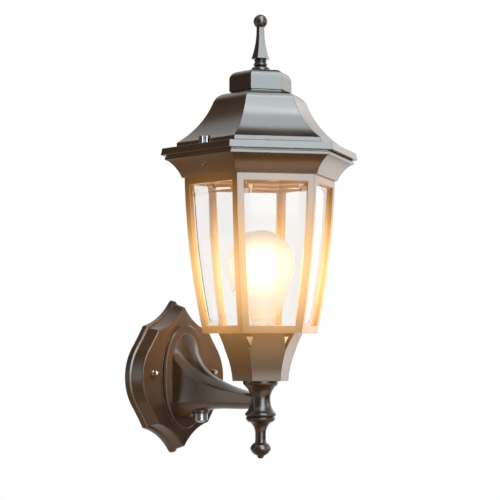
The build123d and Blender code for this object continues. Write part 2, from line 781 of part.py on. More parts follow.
# Lamp pipe through the hub and cup floor, with its nut and washer
pipe_top = cup_floor + 9.0
save("lamp_pipe", lantern * tube(pipe_r, pipe_bore_r, -12.0, pipe_top))
save("pipe_washer", lantern * tube(9.0, pipe_r + slip_gap, cup_floor, cup_floor + 1.0))
pipe_nut = Pos(0, 0, cup_floor + 1.0) * hex_nut(14, 3.2, pipe_r + thread_gap)
save("pipe_nut", lantern * pipe_nut)

# Lamp holder and the bulb in it
holder_z = cup_floor + 4.4
holder_top = ring_z + 6.0
holder = turned(
    [
        (11.0, holder_z),
        (13.5, holder_z + 1.5),
        (holder_r, holder_z + 7.5),
        (holder_r, holder_top - 5.0),
        (holder_r + holder_bead, holder_top - 4.0),
        (holder_r + holder_bead, holder_top - 0.6),
        (holder_r + 1.0, holder_top),
    ]
)
well_z = holder_z + 10.0
holder = holder - rod(shell_r + shell_wall + slip_gap, well_z, holder_top + 1)
holder = holder - rod(pipe_r + thread_gap, holder_z - 1, pipe_top + 0.2)
holder = holder - rod(8.0, pipe_top + 0.2, well_z - 2.0)
holder = holder - (Pos(0, 9.5, 0) * rod(1.6, holder_z + 4.0, well_z + 1))
save("lamp_holder", lantern * holder)
shell = tube(shell_r + shell_wall, shell_r, well_z + 2.5, holder_top - 1.0)
save("screw_shell", lantern * shell)

contact = Pos(0, 0, well_z + 0.4) * Box(5, 16, 0.8)
contact = contact + (Pos(0, 4.0, well_z + 2.75) * Rot(-34, 0, 0) * Box(5, 8.0, 0.7))
save("centre_contact", lantern * contact)

tip_z = well_z + 5.4
cap_low = tip_z + 2.2
cap_high = cap_low + 23.0
thread = [(bulb_cap_r - 3.0, cap_low), (bulb_cap_r - 0.7, cap_low + 1.6)]
for i in range(5):
    z = cap_low + 1.6 + 3.6 * i
    thread.append([(bulb_cap_r, z + 1.8), (bulb_cap_r - 0.7, z + 3.6)])
thread.append((bulb_cap_r - 0.4, cap_high))
bulb_cap = turned(thread)
bulb_cap = bulb_cap - rod(bulb_cap_r - 1.4, cap_low + 2.0, cap_high + 1)
save("bulb_cap", lantern * bulb_cap)
tip = turned([(0, tip_z), [(3.2, tip_z + 0.3), (4.6, tip_z + 1.0)], (8.6, cap_low)])
save("bulb_tip", lantern * tip)

neck_r = bulb_cap_r - 1.6
half_turn = math.sqrt(0.5)
bulb_centre = cap_high + 1.77 * bulb_r
globe_sides = [
    (neck_r, cap_low + 2.2),
    (neck_r, cap_high),
    (neck_r + 1.4, cap_high + 0.6),
    (neck_r + 1.6, cap_high + 0.16 * bulb_r),
    [(0.72 * bulb_r, cap_high + 0.72 * bulb_r), (0.93 * bulb_r, cap_high + 1.34 * bulb_r)],
    [(0.985 * bulb_r, cap_high + 1.57 * bulb_r), (bulb_r, bulb_centre)],
    [(half_turn * bulb_r, bulb_centre + half_turn * bulb_r), (0, bulb_centre + bulb_r)],
]
globe = turned(globe_sides)
glass = 1.0
core_sides = [
    (neck_r - glass, cap_low + 1.0),
    (neck_r - glass, cap_high + 0.17 * bulb_r),
    [
        (0.72 * bulb_r - glass, cap_high + 0.72 * bulb_r),
        (0.93 * bulb_r - glass, cap_high + 1.34 * bulb_r),
    ],
    [(0.985 * bulb_r - glass, cap_high + 1.57 * bulb_r), (bulb_r - glass, bulb_centre)],
    [
        (half_turn * (bulb_r - glass), bulb_centre + half_turn * (bulb_r - glass)),
        (0, bulb_centre + bulb_r - glass),
    ],
]
globe = globe - turned(core_sides)
save("bulb_globe", lantern * globe)

stem_top = bulb_centre - 0.2 * bulb_r
stem_r = neck_r - glass - slip_gap
filament = turned([(stem_r, cap_low + 3.0), (stem_r, cap_low + 6.0), (3.0, stem_top - 20), (1.5, stem_top)])
strip_low = stem_top - 16
strip_high = bulb_centre + 14
strip = Pos(7.0, 0, (strip_low + strip_high) / 2) * Box(0.8, 2.4, strip_high - strip_low)
strip_arm = Pos(4.0, 0, stem_top - 12) * Box(6.4, 0.8, 0.8)
for turn in around(4, 45):
    filament = filament + (turn * strip) + (turn * strip_arm)
save("bulb_filament", lantern * filament)

# Wires held inside the bracket, from the terminal block to the lamp holder and to the dusk sensor
lamp_leads = []
axis_level = hub_top_z + arm_level - plate_z
lead_top = hub_top_z + pipe_top + 3.0 - plate_z
for x in (-1.5, 1.5):
    points = [
        (x, -(plate_inner - 6.0), block_z + block_half + 0.1),
        (x, -(plate_inner - 6.0), -11.5),
        (x, -(boss_face + 0.26 * arm_run), axis_level),
        (x, -reach, axis_level),
        (x, -reach, lead_top),
    ]
    path = FilletPolyline(*points, radius=3.0)
    lamp_leads.append(sweep(Plane(origin=path @ 0, z_dir=path % 0) * Circle(lead_r), path=path))
save("lamp_leads", bracket * Part(children=lamp_leads))

sensor_leads = []
for x in (-3.8, 3.8):
    points = [
        (x, -(plate_inner - 4.4), block_z + block_half + 0.1),
        (x, -(plate_inner - 4.4), -16.0),
        (x, -sensor_away, -16.0),
        (x, -sensor_away, pad_z + 11.1),
    ]
    path = FilletPolyline(*points, radius=2.2)
    sensor_leads.append(sweep(Plane(origin=path @ 0, z_dir=path % 0) * Circle(0.8), path=path))
save("photocell_leads", bracket * Part(children=sensor_leads))
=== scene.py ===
"""Outdoor wall lantern: finishes of its castings and fittings, bevelled panes, a lit bulb and a stage."""

import math

import bpy
import numpy as np
from bpy.props import FloatProperty, FloatVectorProperty, PointerProperty
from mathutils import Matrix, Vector


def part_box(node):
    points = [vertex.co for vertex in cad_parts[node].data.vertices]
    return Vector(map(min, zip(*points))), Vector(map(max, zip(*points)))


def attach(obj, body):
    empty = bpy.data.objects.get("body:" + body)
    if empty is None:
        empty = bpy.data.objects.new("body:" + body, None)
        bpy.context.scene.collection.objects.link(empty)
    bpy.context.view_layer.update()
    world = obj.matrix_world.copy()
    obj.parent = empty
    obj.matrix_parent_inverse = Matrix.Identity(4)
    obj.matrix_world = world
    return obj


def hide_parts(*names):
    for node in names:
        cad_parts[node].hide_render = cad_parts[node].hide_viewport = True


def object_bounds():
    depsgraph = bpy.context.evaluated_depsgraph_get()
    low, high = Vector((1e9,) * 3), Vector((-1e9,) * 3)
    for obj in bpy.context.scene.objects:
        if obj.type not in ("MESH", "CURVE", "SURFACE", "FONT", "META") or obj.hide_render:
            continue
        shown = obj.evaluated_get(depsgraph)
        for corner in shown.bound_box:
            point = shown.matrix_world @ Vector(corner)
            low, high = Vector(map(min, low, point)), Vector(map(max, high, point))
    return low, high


bl_info = {
    "name": "Outdoor wall lantern",
    "version": (1, 0, 0),
    "blender": (4, 5, 0),
    "location": "3D View > Sidebar > Lantern",
    "description": "Finishes, bevelled panes, lit bulb and stage of an outdoor wall lantern",
    "category": "Object",
}

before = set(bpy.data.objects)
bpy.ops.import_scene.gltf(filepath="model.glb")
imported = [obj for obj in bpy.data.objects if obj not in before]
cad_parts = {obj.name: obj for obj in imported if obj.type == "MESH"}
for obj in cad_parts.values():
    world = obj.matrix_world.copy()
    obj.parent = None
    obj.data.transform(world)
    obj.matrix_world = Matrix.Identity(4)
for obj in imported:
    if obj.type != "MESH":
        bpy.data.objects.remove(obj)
cad_box = [list(corner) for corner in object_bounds()]

cage_low, cage_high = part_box("cage")
axis_place = (cage_low + cage_high) / 2
MM = 0.001

# Turn of each pane about the lantern's axis, in degrees
PANE_TURNS = {
    "right": 0,
    "back_right": 60,
    "back_left": 120,
    "left": 180,
    "front_left": 240,
    "front_right": 300,
}

# Points of a pane between its bevels, up and across, and on each bevel
PANE_ROWS = 41
PANE_COLUMNS = 57
BEVEL_STEPS = 6

# Waves of the drawn glass: share, radians per metre across, start in radians, radians per metre up
PANE_WAVES = ((1.0, 900, 0.0, 14), (0.7, 1730, 2.1, -9))

# Repeats in a metre of the slow drift of tone and of the fine grain, and the depth of the grain
DRIFT_SCALE = 28.0
GRAIN_SCALE = 1100.0
GRAIN_DEPTH = 0.2 * MM

# Radius of the edges of small fittings, and the colour of settled dust
SOFT_EDGE = 0.3 * MM
DUST_TONE = (0.42, 0.38, 0.33)

# Softboxes: heading and height in degrees, distance, width and tallness in metres, brightness, colour
SOFTBOXES = {
    "front_softbox": (-17, 34, 1.6, 0.95, 2.3, 9.3, (0.89, 1.03, 1.10)),
    "top_softbox": (5, 76, 1.5, 1.1, 0.7, 4.8, (0.89, 1.03, 1.10)),
    "front_low_light": (-17, -11, 1.5, 0.95, 0.50, 3.6, (1.08, 0.92, 0.76)),
    "left_strip": (-117, 5, 1.15, 0.12, 1.3, 2.8, (1.0, 0.95, 0.90)),
    "right_panel": (103, 10, 1.8, 0.9, 1.6, 1.1, (1.0, 0.92, 0.86)),
    "right_warm_light": (45, 11, 1.5, 0.8, 0.6, 3.6, (1.0, 0.60, 0.34)),
    "left_low_light": (-137, -8, 1.2, 0.22, 0.24, 2.4, (1.0, 0.94, 0.88)),
    "front_floor_light": (0, -51, 0.6, 0.7, 0.3, 1.6, (1.0, 0.55, 0.28)),
    "floor_bounce": (0, -90, 0.52, 0.8, 0.8, 0.5, (1.0, 0.50, 0.24)),
    "key_light": (-17, 45, 1.6, 1.0, 1.0, 0.95, (1.0, 1.0, 1.0)),
}

# The one softbox that lights matt surfaces, while the others only show as a gloss
MATT_LIGHT = "key_light"

# Cards that dull a reflection: heading and height in degrees, distance, width and tallness in metres, colour
FLAGS = {
    "left_flag": (-148, 18, 1.3, 1.2, 1.5, (0.28, 0.18, 0.11)),
    "camera_flag": (-79, 2, 1.3, 2.1, 1.6, (0.35, 0.27, 0.20)),
    "right_flag": (46, -16, 1.3, 1.5, 0.7, (0.16, 0.15, 0.14)),
    "top_flag": (121, 62, 1.3, 0.7, 0.7, (0.05, 0.04, 0.03)),
    "floor_flag": (0, -89, 0.55, 0.9, 0.68, (0.10, 0.07, 0.05)),
    "left_low_flag": (-150, -32, 0.7, 0.8, 0.42, (0.75, 0.45, 0.25)),
}

# Sides of the four corners of a flat sheet, in order round it
CORNER_SIGNS = ((-1, -1), (1, -1), (1, 1), (-1, 1))

# Sockets of a mix of colours: its share, its two ends and its result
MIX_SHARE, MIX_LOW, MIX_HIGH, MIX_RESULT = 0, 6, 7, 2


def colour_setting(name, description, default):
    """A colour that a user may change."""
    return FloatVectorProperty(
        name=name, description=description, subtype="COLOR", size=3, min=0.0, max=1.0, default=default
    )


def length_setting(name, description, millimetres):
    """A length that a user may change, kept in metres."""
    return FloatProperty(
        name=name, description=description, unit="LENGTH", min=0.0, default=millimetres * MM, precision=5
    )


def number_setting(name, description, default, **options):
    """A plain number that a user may change, with its limits or unit as options."""
    return FloatProperty(name=name, description=description, default=default, **options)


def angle_setting(name, description, degrees):
    """An angle that a user may change, kept in radians."""
    return FloatProperty(
        name=name, description=description, subtype="ANGLE", default=math.radians(degrees)
    )


class BronzeSettings(bpy.types.PropertyGroup):
    """Finish of the castings."""

    deep: colour_setting("Deep bronze", "Darker tone of the castings", (0.050, 0.025, 0.012))
    warm: colour_setting("Warm bronze", "Lighter tone of the castings", (0.092, 0.047, 0.022))
    # Edge tone: partly wear, partly a painted highlight on the castings' edges
    wear_and_highlight_tone: colour_setting("Rubbed edge", "Tone where the finish is rubbed thin", (0.42, 0.32, 0.24))
    sheen: number_setting("Sheen", "Refraction of the clear lacquer", 1.55, min=1, max=2.5)
    edge: length_setting("Edge rounding", "Radius of the castings' edges", 0.7)
    roughness: number_setting("Roughness", "Softness of the gloss", 0.23, min=0, max=1)
    shade: number_setting("Turned shade", "Tone of the turned castings", 0.4, min=0, max=1)
    turned_edge: length_setting("Turned edge", "Radius of the turned castings' edges", 0.2)
    turned_more: number_setting("Turned roughness", "Added to the roughness on the turned castings", 0.03)


class PaneSettings(bpy.types.PropertyGroup):
    """Shape and glass of the six panes."""

    foot_half: length_setting("Foot half width", "Cage across flats at the foot, halved", 44.4)
    belly_half: length_setting("Belly half width", "Cage across flats at the belly, halved", 54.595)
    belly_share: number_setting("Belly height", "Share of the cage's height", 0.5126)
    stile: length_setting("Post width", "Width of a corner post on each face", 6.0)
    rail: length_setting("Rail height", "Height of the top and bottom rails", 6.4)
    lap: length_setting("Lap", "Pane behind the frame on each side", 1.4)
    inset: length_setting("Inset", "Cage face to the front of the pane", 4.15)
    thick: length_setting("Thickness", "Thickness of a pane at its middle", 3.0)
    bevel_width: length_setting("Bevel width", "Width of the ground bevel", 8.0)
    bevel_depth: length_setting("Bevel depth", "Glass taken off at the rim by the bevel", 1.3)
    wave_depth: length_setting("Wave depth", "Height of the drawn glass's waves", 0.02)
    grey: colour_setting("Grey tone", "Darker tone of the glass", (0.93, 0.921, 0.908))
    clear: colour_setting("Clear tone", "Lighter tone of the glass", (0.96, 0.952, 0.940))
    refraction: number_setting("Refraction", "How the glass bends what is behind it", 1.2, min=1, max=2)


class BulbSettings(bpy.types.PropertyGroup):
    """Light of the bulb, and its glow painted as emission on the cage, cup and crown."""

    # Glow and halo colour the bulb's own glow, and also the lamplight painted on the castings
    glow: colour_setting("Glow", "Colour of the lit strips and of the bloom round them", (1.0, 0.82, 0.44))
    halo: colour_setting("Halo", "Colour of the outer part of the glow", (1.0, 0.43, 0.07))
    cast: colour_setting("Cast", "Colour of the light that the bulb casts", (1.0, 0.78, 0.42))
    watts: number_setting("Watts", "Light that the bulb casts", 1.5, unit="POWER", min=0)
    radius: length_setting("Light radius", "Radius of the light in the globe", 14.0)
    level: length_setting("Level", "Height of the brightest part", 95.0)
    bloom: number_setting("Bloom", "Brightness of the globe at its middle", 1.3, min=0)
    bloom_full: length_setting("Full bloom", "Whole bloom as far as this above and below its level", 6.0)
    bloom_end: length_setting("End of bloom", "No bloom beyond this above and below its level", 34.0)
    rim_fade: number_setting("Rim fade", "Power of the bloom's fading towards the globe's rim", 2.6, min=0)
    core: length_setting("Core", "How far the glow spreads along the strips", 20.0)
    # From here down: lamplight painted as emission on the cage, cup and crown, more on faces that look at the
    # bulb
    reach: length_setting("Reach", "How far the glow spreads over the frame", 54.0)
    painted_frame_glow: number_setting("Frame glow", "Brightness of that glow", 3.0, min=0)
    cup_painted_share: number_setting("Cup share", "Share of it on the cup", 0.35, min=0)
    crown_painted_share: number_setting("Crown share", "Share of it on the crown", 0.62, min=0)
    cage_painted_facing: number_setting("Cage facing", "More glow on a cage face that looks at the bulb", 0.3, min=0)
    cup_painted_facing: number_setting("Cup facing", "More glow on a cup face that looks at the bulb", 5.0, min=0)


class StageSettings(bpy.types.PropertyGroup):
    """Camera, floor and room light."""

    camera_place: FloatVectorProperty(
        name="Camera place",
        description="Where the camera stands",
        subtype="TRANSLATION",
        size=3,
        default=(-0.98527, -1.17909, 0.02317),
    )
    camera_turn: angle_setting("Camera turn", "Heading", -42.647)
    camera_pitch: angle_setting("Camera pitch", "Upward tilt", 3.386)
    lens: number_setting("Lens", "Focal length in millimetres", 118.66)
    floor_drop: length_setting("Floor drop", "Lowest point of the lantern to the floor", 400.0)
    room: number_setting("Room light", "Soft light from all round", 0.22, min=0)


class LanternSettings(bpy.types.PropertyGroup):
    """Everything that a user may change."""

    bronze: PointerProperty(type=BronzeSettings)
    panes: PointerProperty(type=PaneSettings)
    bulb: PointerProperty(type=BulbSettings)
    stage: PointerProperty(type=StageSettings)


# Node helpers


def put(tree, value, node, entry):
    """Gives an input of a node a plain value, or the output of another node."""
    if isinstance(value, bpy.types.NodeSocket):
        tree.links.new(value, node.inputs[entry])
    else:
        node.inputs[entry].default_value = value


def add_node(tree, kind, **values):
    """A new node with some of its attributes and inputs set by name."""
    node = tree.nodes.new(kind)
    for key, value in values.items():
        if hasattr(node, key):
            setattr(node, key, value)
        else:
            put(tree, value, node, key.replace("_", " "))
    return node


def calc(tree, operation, *values, clamp=False):
    """The output of a math node that is fed with plain numbers or outputs."""
    node = add_node(tree, "ShaderNodeMath", operation=operation, use_clamp=clamp)
    for entry, value in enumerate(values):
        put(tree, value, node, entry)
    return node.outputs["Value"]


def vector_calc(tree, operation, *values):
    """The output of a vector math node, which for a length or a dot product is a number."""
    node = add_node(tree, "ShaderNodeVectorMath", operation=operation)
    for entry, value in enumerate(values):
        put(tree, value, node, entry)
    return node.outputs["Value" if operation in ("LENGTH", "DOT_PRODUCT") else "Vector"]


def colour(values):
    """Red, green, blue and a full alpha."""
    return (values[0], values[1], values[2], 1.0)


def mixed(tree, mask, low, high):
    """A mix by a mask of two ends, each a colour or an output."""
    mix = add_node(tree, "ShaderNodeMix", data_type="RGBA")
    put(tree, mask, mix, MIX_SHARE)
    for end, entry in ((low, MIX_LOW), (high, MIX_HIGH)):
        put(tree, end if isinstance(end, bpy.types.NodeSocket) else colour(end), mix, entry)
    return mix.outputs[MIX_RESULT]


def blended(tree, share, first, second):
    """A mix by a share of two surfaces."""
    node = add_node(tree, "ShaderNodeMixShader", Fac=share)
    put(tree, first, node, 1)
    put(tree, second, node, 2)
    return node.outputs["Shader"]


def object_place(tree):
    """The place of a point in its piece's own frame."""
    return add_node(tree, "ShaderNodeTexCoord").outputs["Object"]


def new_group(name, inputs, outputs):
    """An empty shader group with its named sockets, and its two end nodes."""
    tree = bpy.data.node_groups.new(name, "ShaderNodeTree")
    for label, kind, value in inputs:
        entry = tree.interface.new_socket(name=label, in_out="INPUT", socket_type=kind)
        entry.default_value = value
    for label, kind in outputs:
        tree.interface.new_socket(name=label, in_out="OUTPUT", socket_type=kind)
    return tree, tree.nodes.new("NodeGroupInput"), tree.nodes.new("NodeGroupOutput")


def edge_wear_and_highlight_group():
    """Rounded normal and a mask of the edges: one less the dot product of the rounded and the true normal,
    times a mottle.
    The mask lightens the castings' edges, partly as wear and partly as a painted highlight.
    """
    tree, start, end = new_group(
        "edge_wear_and_highlight",
        [("Width", "NodeSocketFloat", 0.7 * MM), ("Amount", "NodeSocketFloat", 1.0)],
        [("Mask", "NodeSocketFloat"), ("Normal", "NodeSocketVector")],
    )
    rounding = add_node(tree, "ShaderNodeBevel", samples=12, Radius=start.outputs["Width"])
    surface = add_node(tree, "ShaderNodeNewGeometry")
    likeness = vector_calc(tree, "DOT_PRODUCT", rounding.outputs["Normal"], surface.outputs["Normal"])
    turned = calc(tree, "SUBTRACT", 1.0, likeness)
    mottle = add_node(tree, "ShaderNodeTexNoise", Vector=object_place(tree), Scale=260.0, Detail=3.0)
    patchy = calc(tree, "MULTIPLY", turned, mottle.outputs["Fac"])
    put(tree, calc(tree, "MULTIPLY", patchy, start.outputs["Amount"], clamp=True), end, "Mask")
    put(tree, rounding.outputs["Normal"], end, "Normal")
    return tree


def skin_group():
    """Two sizes of noise: a slow drift of tone, and a fine grain whose height feeds a bump."""
    tree, start, end = new_group(
        "skin",
        [("Drift Scale", "NodeSocketFloat", DRIFT_SCALE), ("Grain Scale", "NodeSocketFloat", GRAIN_SCALE)],
        [("Tone", "NodeSocketFloat"), ("Height", "NodeSocketFloat")],
    )
    place = object_place(tree)
    drift = add_node(tree, "ShaderNodeTexNoise", Vector=place, Detail=4.0, Roughness=0.55)
    grain = add_node(tree, "ShaderNodeTexNoise", Vector=place, Detail=2.0, Roughness=0.5)
    for noise, entry, label in ((drift, "Drift Scale", "Tone"), (grain, "Grain Scale", "Height")):
        put(tree, start.outputs[entry], noise, "Scale")
        put(tree, noise.outputs["Fac"], end, label)
    return tree


def dust_group():
    """Mask of settled dust: the upward part of the normal times a patchy noise."""
    tree, start, end = new_group(
        "dust", [("Amount", "NodeSocketFloat", 0.3)], [("Mask", "NodeSocketFloat")]
    )
    surface = add_node(tree, "ShaderNodeNewGeometry")
    split = add_node(tree, "ShaderNodeSeparateXYZ", Vector=surface.outputs["Normal"])
    upward = add_node(tree, "ShaderNodeMapRange", Value=split.outputs["Z"], From_Min=0.35, From_Max=1.0)
    patches = add_node(
        tree, "ShaderNodeTexNoise", Vector=object_place(tree), Scale=90.0, Detail=5.0, Roughness=0.65
    )
    both = calc(tree, "MULTIPLY", upward.outputs["Result"], patches.outputs["Fac"])
    put(tree, calc(tree, "MULTIPLY", both, start.outputs["Amount"], clamp=True), end, "Mask")
    return tree


def emitted_glow_falloff_group():
    """Falloff of an emitted glow: the exponent of minus the squared share of a reach from the bulb.
    On the strips it shapes the bulb's own light; on the cage, cup and crown it is painted lamplight.

    A face that looks at the bulb gets more of the painted glow, in step with the cosine of its turn.
    """
    tree, start, end = new_group(
        "emitted_glow_falloff",
        [
            ("Centre", "NodeSocketVector", (0, 0, 0)),
            ("Reach", "NodeSocketFloat", 56 * MM),
            ("Facing", "NodeSocketFloat", 0.0),
        ],
        [("Mask", "NodeSocketFloat")],
    )
    place = add_node(tree, "ShaderNodeTexCoord")
    offset = vector_calc(tree, "SUBTRACT", place.outputs["Object"], start.outputs["Centre"])
    share = calc(tree, "DIVIDE", vector_calc(tree, "LENGTH", offset), start.outputs["Reach"])
    square = calc(tree, "MULTIPLY", share, share)
    fall = calc(tree, "EXPONENT", calc(tree, "MULTIPLY", square, -1.0))
    way = vector_calc(tree, "NORMALIZE", offset)
    cosine = vector_calc(tree, "DOT_PRODUCT", way, place.outputs["Normal"])
    toward = calc(tree, "MULTIPLY", cosine, -1.0, clamp=True)
    more = calc(tree, "MULTIPLY_ADD", toward, start.outputs["Facing"], 1.0)
    put(tree, calc(tree, "MULTIPLY", fall, more), end, "Mask")
    return tree


GROUP_MAKERS = {
    "edge_wear_and_highlight": edge_wear_and_highlight_group,
    "skin": skin_group,
    "dust": dust_group,
    "emitted_glow_falloff": emitted_glow_falloff_group,
}


def shared(tree, name, **values):
    """A shared group placed in a material with its own values."""
    group = bpy.data.node_groups.get(name) or GROUP_MAKERS[name]()
    node = tree.nodes.new("ShaderNodeGroup")
    node.node_tree = group
    for key, value in values.items():
        put(tree, value, node, key.replace("_", " "))
    return node


# Finishes


def new_material(name):
    """A material, its node tree and its surface shader."""
    made = bpy.data.materials.new(name)
    made.use_nodes = True
    return made, made.node_tree, made.node_tree.nodes["Principled BSDF"]


def finish(
    name, low, high, roughness, spread, grain, edge=SOFT_EDGE, wear_and_highlight=0.0, wear_and_highlight_tone=None, dust=0.0, **values
):
    """A surface finish: tone drift between two colours, uneven gloss, fine grain and softened edges.

    The edge is the radius of the edges; the amount and the tone after it lighten the edges, partly as wear
    and partly as a painted highlight. Other values go to the shader's own sockets by their names.
    """
    made = bpy.data.materials.get(name)
    if made:
        return made
    made, tree, shader = new_material(name)
    skin = shared(tree, "skin", Drift_Scale=DRIFT_SCALE, Grain_Scale=GRAIN_SCALE)
    # Edges lightened towards the edge tone: partly wear, partly a painted highlight
    corners = shared(tree, "edge_wear_and_highlight", Width=edge, Amount=wear_and_highlight)
    tone = mixed(tree, skin.outputs["Tone"], low, high)
    tone = mixed(tree, corners.outputs["Mask"], tone, high if wear_and_highlight_tone is None else wear_and_highlight_tone)
    if dust:
        settled = shared(tree, "dust", Amount=dust)
        tone = mixed(tree, settled.outputs["Mask"], tone, DUST_TONE)
    gloss = add_node(
        tree,
        "ShaderNodeMapRange",
        Value=skin.outputs["Tone"],
        To_Min=roughness - spread,
        To_Max=roughness + spread,
    )
    bump = add_node(
        tree,
        "ShaderNodeBump",
        Strength=grain,
        Distance=GRAIN_DEPTH,
        Height=skin.outputs["Height"],
        Normal=corners.outputs["Normal"],
    )
    put(tree, tone, shader, "Base Color")
    put(tree, gloss.outputs["Result"], shader, "Roughness")
    put(tree, bump.outputs["Normal"], shader, "Normal")
    for key, value in values.items():
        put(tree, value, shader, key.replace("_", " "))
    return made


def add_emitted_glow(material, bulb, glow, reach, outer, facing=0.0):
    """Adds an emitted glow that falls off from the bulb's brightest level, and goes over to an outer colour.

    On the strips this is the bulb's own light; on the castings it is painted lamplight.
    """
    tree = material.node_tree
    shader = tree.nodes["Principled BSDF"]
    centre = (0, axis_place.y, bulb.level)
    near = shared(tree, "emitted_glow_falloff", Centre=centre, Reach=reach, Facing=facing).outputs["Mask"]
    put(tree, calc(tree, "MULTIPLY", near, glow), shader, "Emission Strength")
    put(tree, mixed(tree, near, outer, bulb.glow), shader, "Emission Color")


def wear(material, *names):
    """Puts a material on CAD nodes by name."""
    for name in names:
        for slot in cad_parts[name].material_slots:
            slot.material = material


# Mesh helpers


def bowed(z, low, middle, high):
    """Distance from the axis of an arc through three (distance, height) points.

    The circle's centre solves the two equal-distance conditions, and the distance is the centre's plus the
    root of the radius squared less the height above the centre squared.
    """
    points = np.array([low, middle, high])
    sides = 2 * (points[1:] - points[0])
    sums = (points[1:] ** 2).sum(axis=1) - (points[0] ** 2).sum()
    centre = np.linalg.solve(sides, sums)
    radius_squared = ((points[0] - centre) ** 2).sum()
    return centre[0] + np.sqrt(radius_squared - (z - centre[1]) ** 2)


def sheet_faces(rows, columns):
    """Quads of a closed sheet of two equal grids: the front, the back turned over and a strip at the rim."""
    count = rows * columns
    grid = np.arange(count).reshape(rows, columns)
    front = np.stack([grid[:-1, :-1], grid[:-1, 1:], grid[1:, 1:], grid[1:, :-1]], axis=-1).reshape(-1, 4)
    back = front[:, ::-1] + count
    rim = np.concatenate([grid[0, :-1], grid[:-1, -1], grid[-1, :0:-1], grid[:0:-1, 0]])
    after = np.roll(rim, -1)
    strip = np.stack([rim, rim + count, after + count, after], axis=-1)
    return np.concatenate([front, back, strip])


def spread_steps(half, border, inner):
    """Places from -1 to 1 across a pane, with rows of points on each bevel and between the bevels."""
    share = 1 - border / half
    middle = np.linspace(-share, share, inner)
    rising = np.linspace(share, 1, BEVEL_STEPS + 1)[1:]
    return np.concatenate([-rising[::-1], middle, rising])


def new_piece(name, points, faces, material, body, crease=30.0):
    """A mesh object in the row frame that rides on a body, smooth but for edges sharper than the crease."""
    mesh = bpy.data.meshes.new(name)
    mesh.from_pydata(points.tolist(), [], faces.tolist())
    mesh.polygons.foreach_set("use_smooth", np.ones(len(mesh.polygons), dtype=bool))
    mesh.set_sharp_from_angle(angle=math.radians(crease))
    mesh.materials.append(material)
    piece = bpy.data.objects.new(name, mesh)
    bpy.context.scene.collection.objects.link(piece)
    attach(piece, body)
    return piece


def new_sheet(name, corners, material):
    """A flat sheet with four corners."""
    mesh = bpy.data.meshes.new(name)
    mesh.from_pydata([tuple(corner) for corner in corners], [], [(0, 1, 2, 3)])
    mesh.materials.append(material)
    sheet = bpy.data.objects.new(name, mesh)
    bpy.context.scene.collection.objects.link(sheet)
    return sheet


# Operators


class LANTERN_OT_castings(bpy.types.Operator):
    """Dark bronze finish of the plate, arm, hub, cup, cage, crown, roof, finials and cap nuts, with the
    castings' edges lightened partly by wear and partly by a painted highlight, and lamplight painted as
    emission on the cage, cup and crown
    """

    bl_idname = "lantern.castings"
    bl_label = "Castings"

    def execute(self, context):
        bronze = context.scene.lantern.bronze
        bulb = context.scene.lantern.bulb
        cast = finish(
            "satin_bronze",
            low=bronze.deep,
            high=bronze.warm,
            roughness=bronze.roughness,
            spread=0.05,
            grain=0.04,
            edge=bronze.edge,
            wear_and_highlight=6.0,
            wear_and_highlight_tone=bronze.wear_and_highlight_tone,
            dust=0.06,
            IOR=bronze.sheen,
        )
        wear(cast, "backplate", "arm", "roof")
        turned = finish(
            "turned_bronze",
            low=[tone * bronze.shade for tone in bronze.deep],
            high=[tone * bronze.shade for tone in bronze.warm],
            roughness=bronze.roughness + bronze.turned_more,
            spread=0.04,
            grain=0.02,
            edge=bronze.turned_edge,
            wear_and_highlight=2.0,
            wear_and_highlight_tone=bronze.wear_and_highlight_tone,
            dust=0.04,
            IOR=bronze.sheen,
        )
        wear(turned, "hub", "lower_finial", "roof_cap", "top_finial")
        nut = finish(
            "nut_bronze",
            low=(0.24, 0.19, 0.15),
            high=(0.40, 0.34, 0.28),
            roughness=0.2,
            spread=0.05,
            grain=0.03,
            Metallic=1.0,
        )
        wear(nut, "cap_nuts")
        # Lamplight painted as emission on the cage, cup and crown, brightest near the bulb
        cup_painted_glow = bulb.painted_frame_glow * bulb.cup_painted_share
        crown_painted_glow = bulb.painted_frame_glow * bulb.crown_painted_share
        wear(self.painted_lamplit(cast, "painted_lamplight_bronze", bulb, bulb.painted_frame_glow, bulb.cage_painted_facing), "cage")
        wear(self.painted_lamplit(cast, "painted_lamplight_cup_bronze", bulb, cup_painted_glow, bulb.cup_painted_facing), "calyx")
        wear(self.painted_lamplit(cast, "painted_lamplight_crown_bronze", bulb, crown_painted_glow), "crown")
        return {"FINISHED"}

    def painted_lamplit(self, cast, name, bulb, glow, facing=0.0):
        """The castings' finish with the lamp's glow painted on it as emission, on what stands round the bulb.
        """
        material = cast.copy()
        material.name = name
        add_emitted_glow(material, bulb, glow, bulb.reach, bulb.halo, facing)
        return material


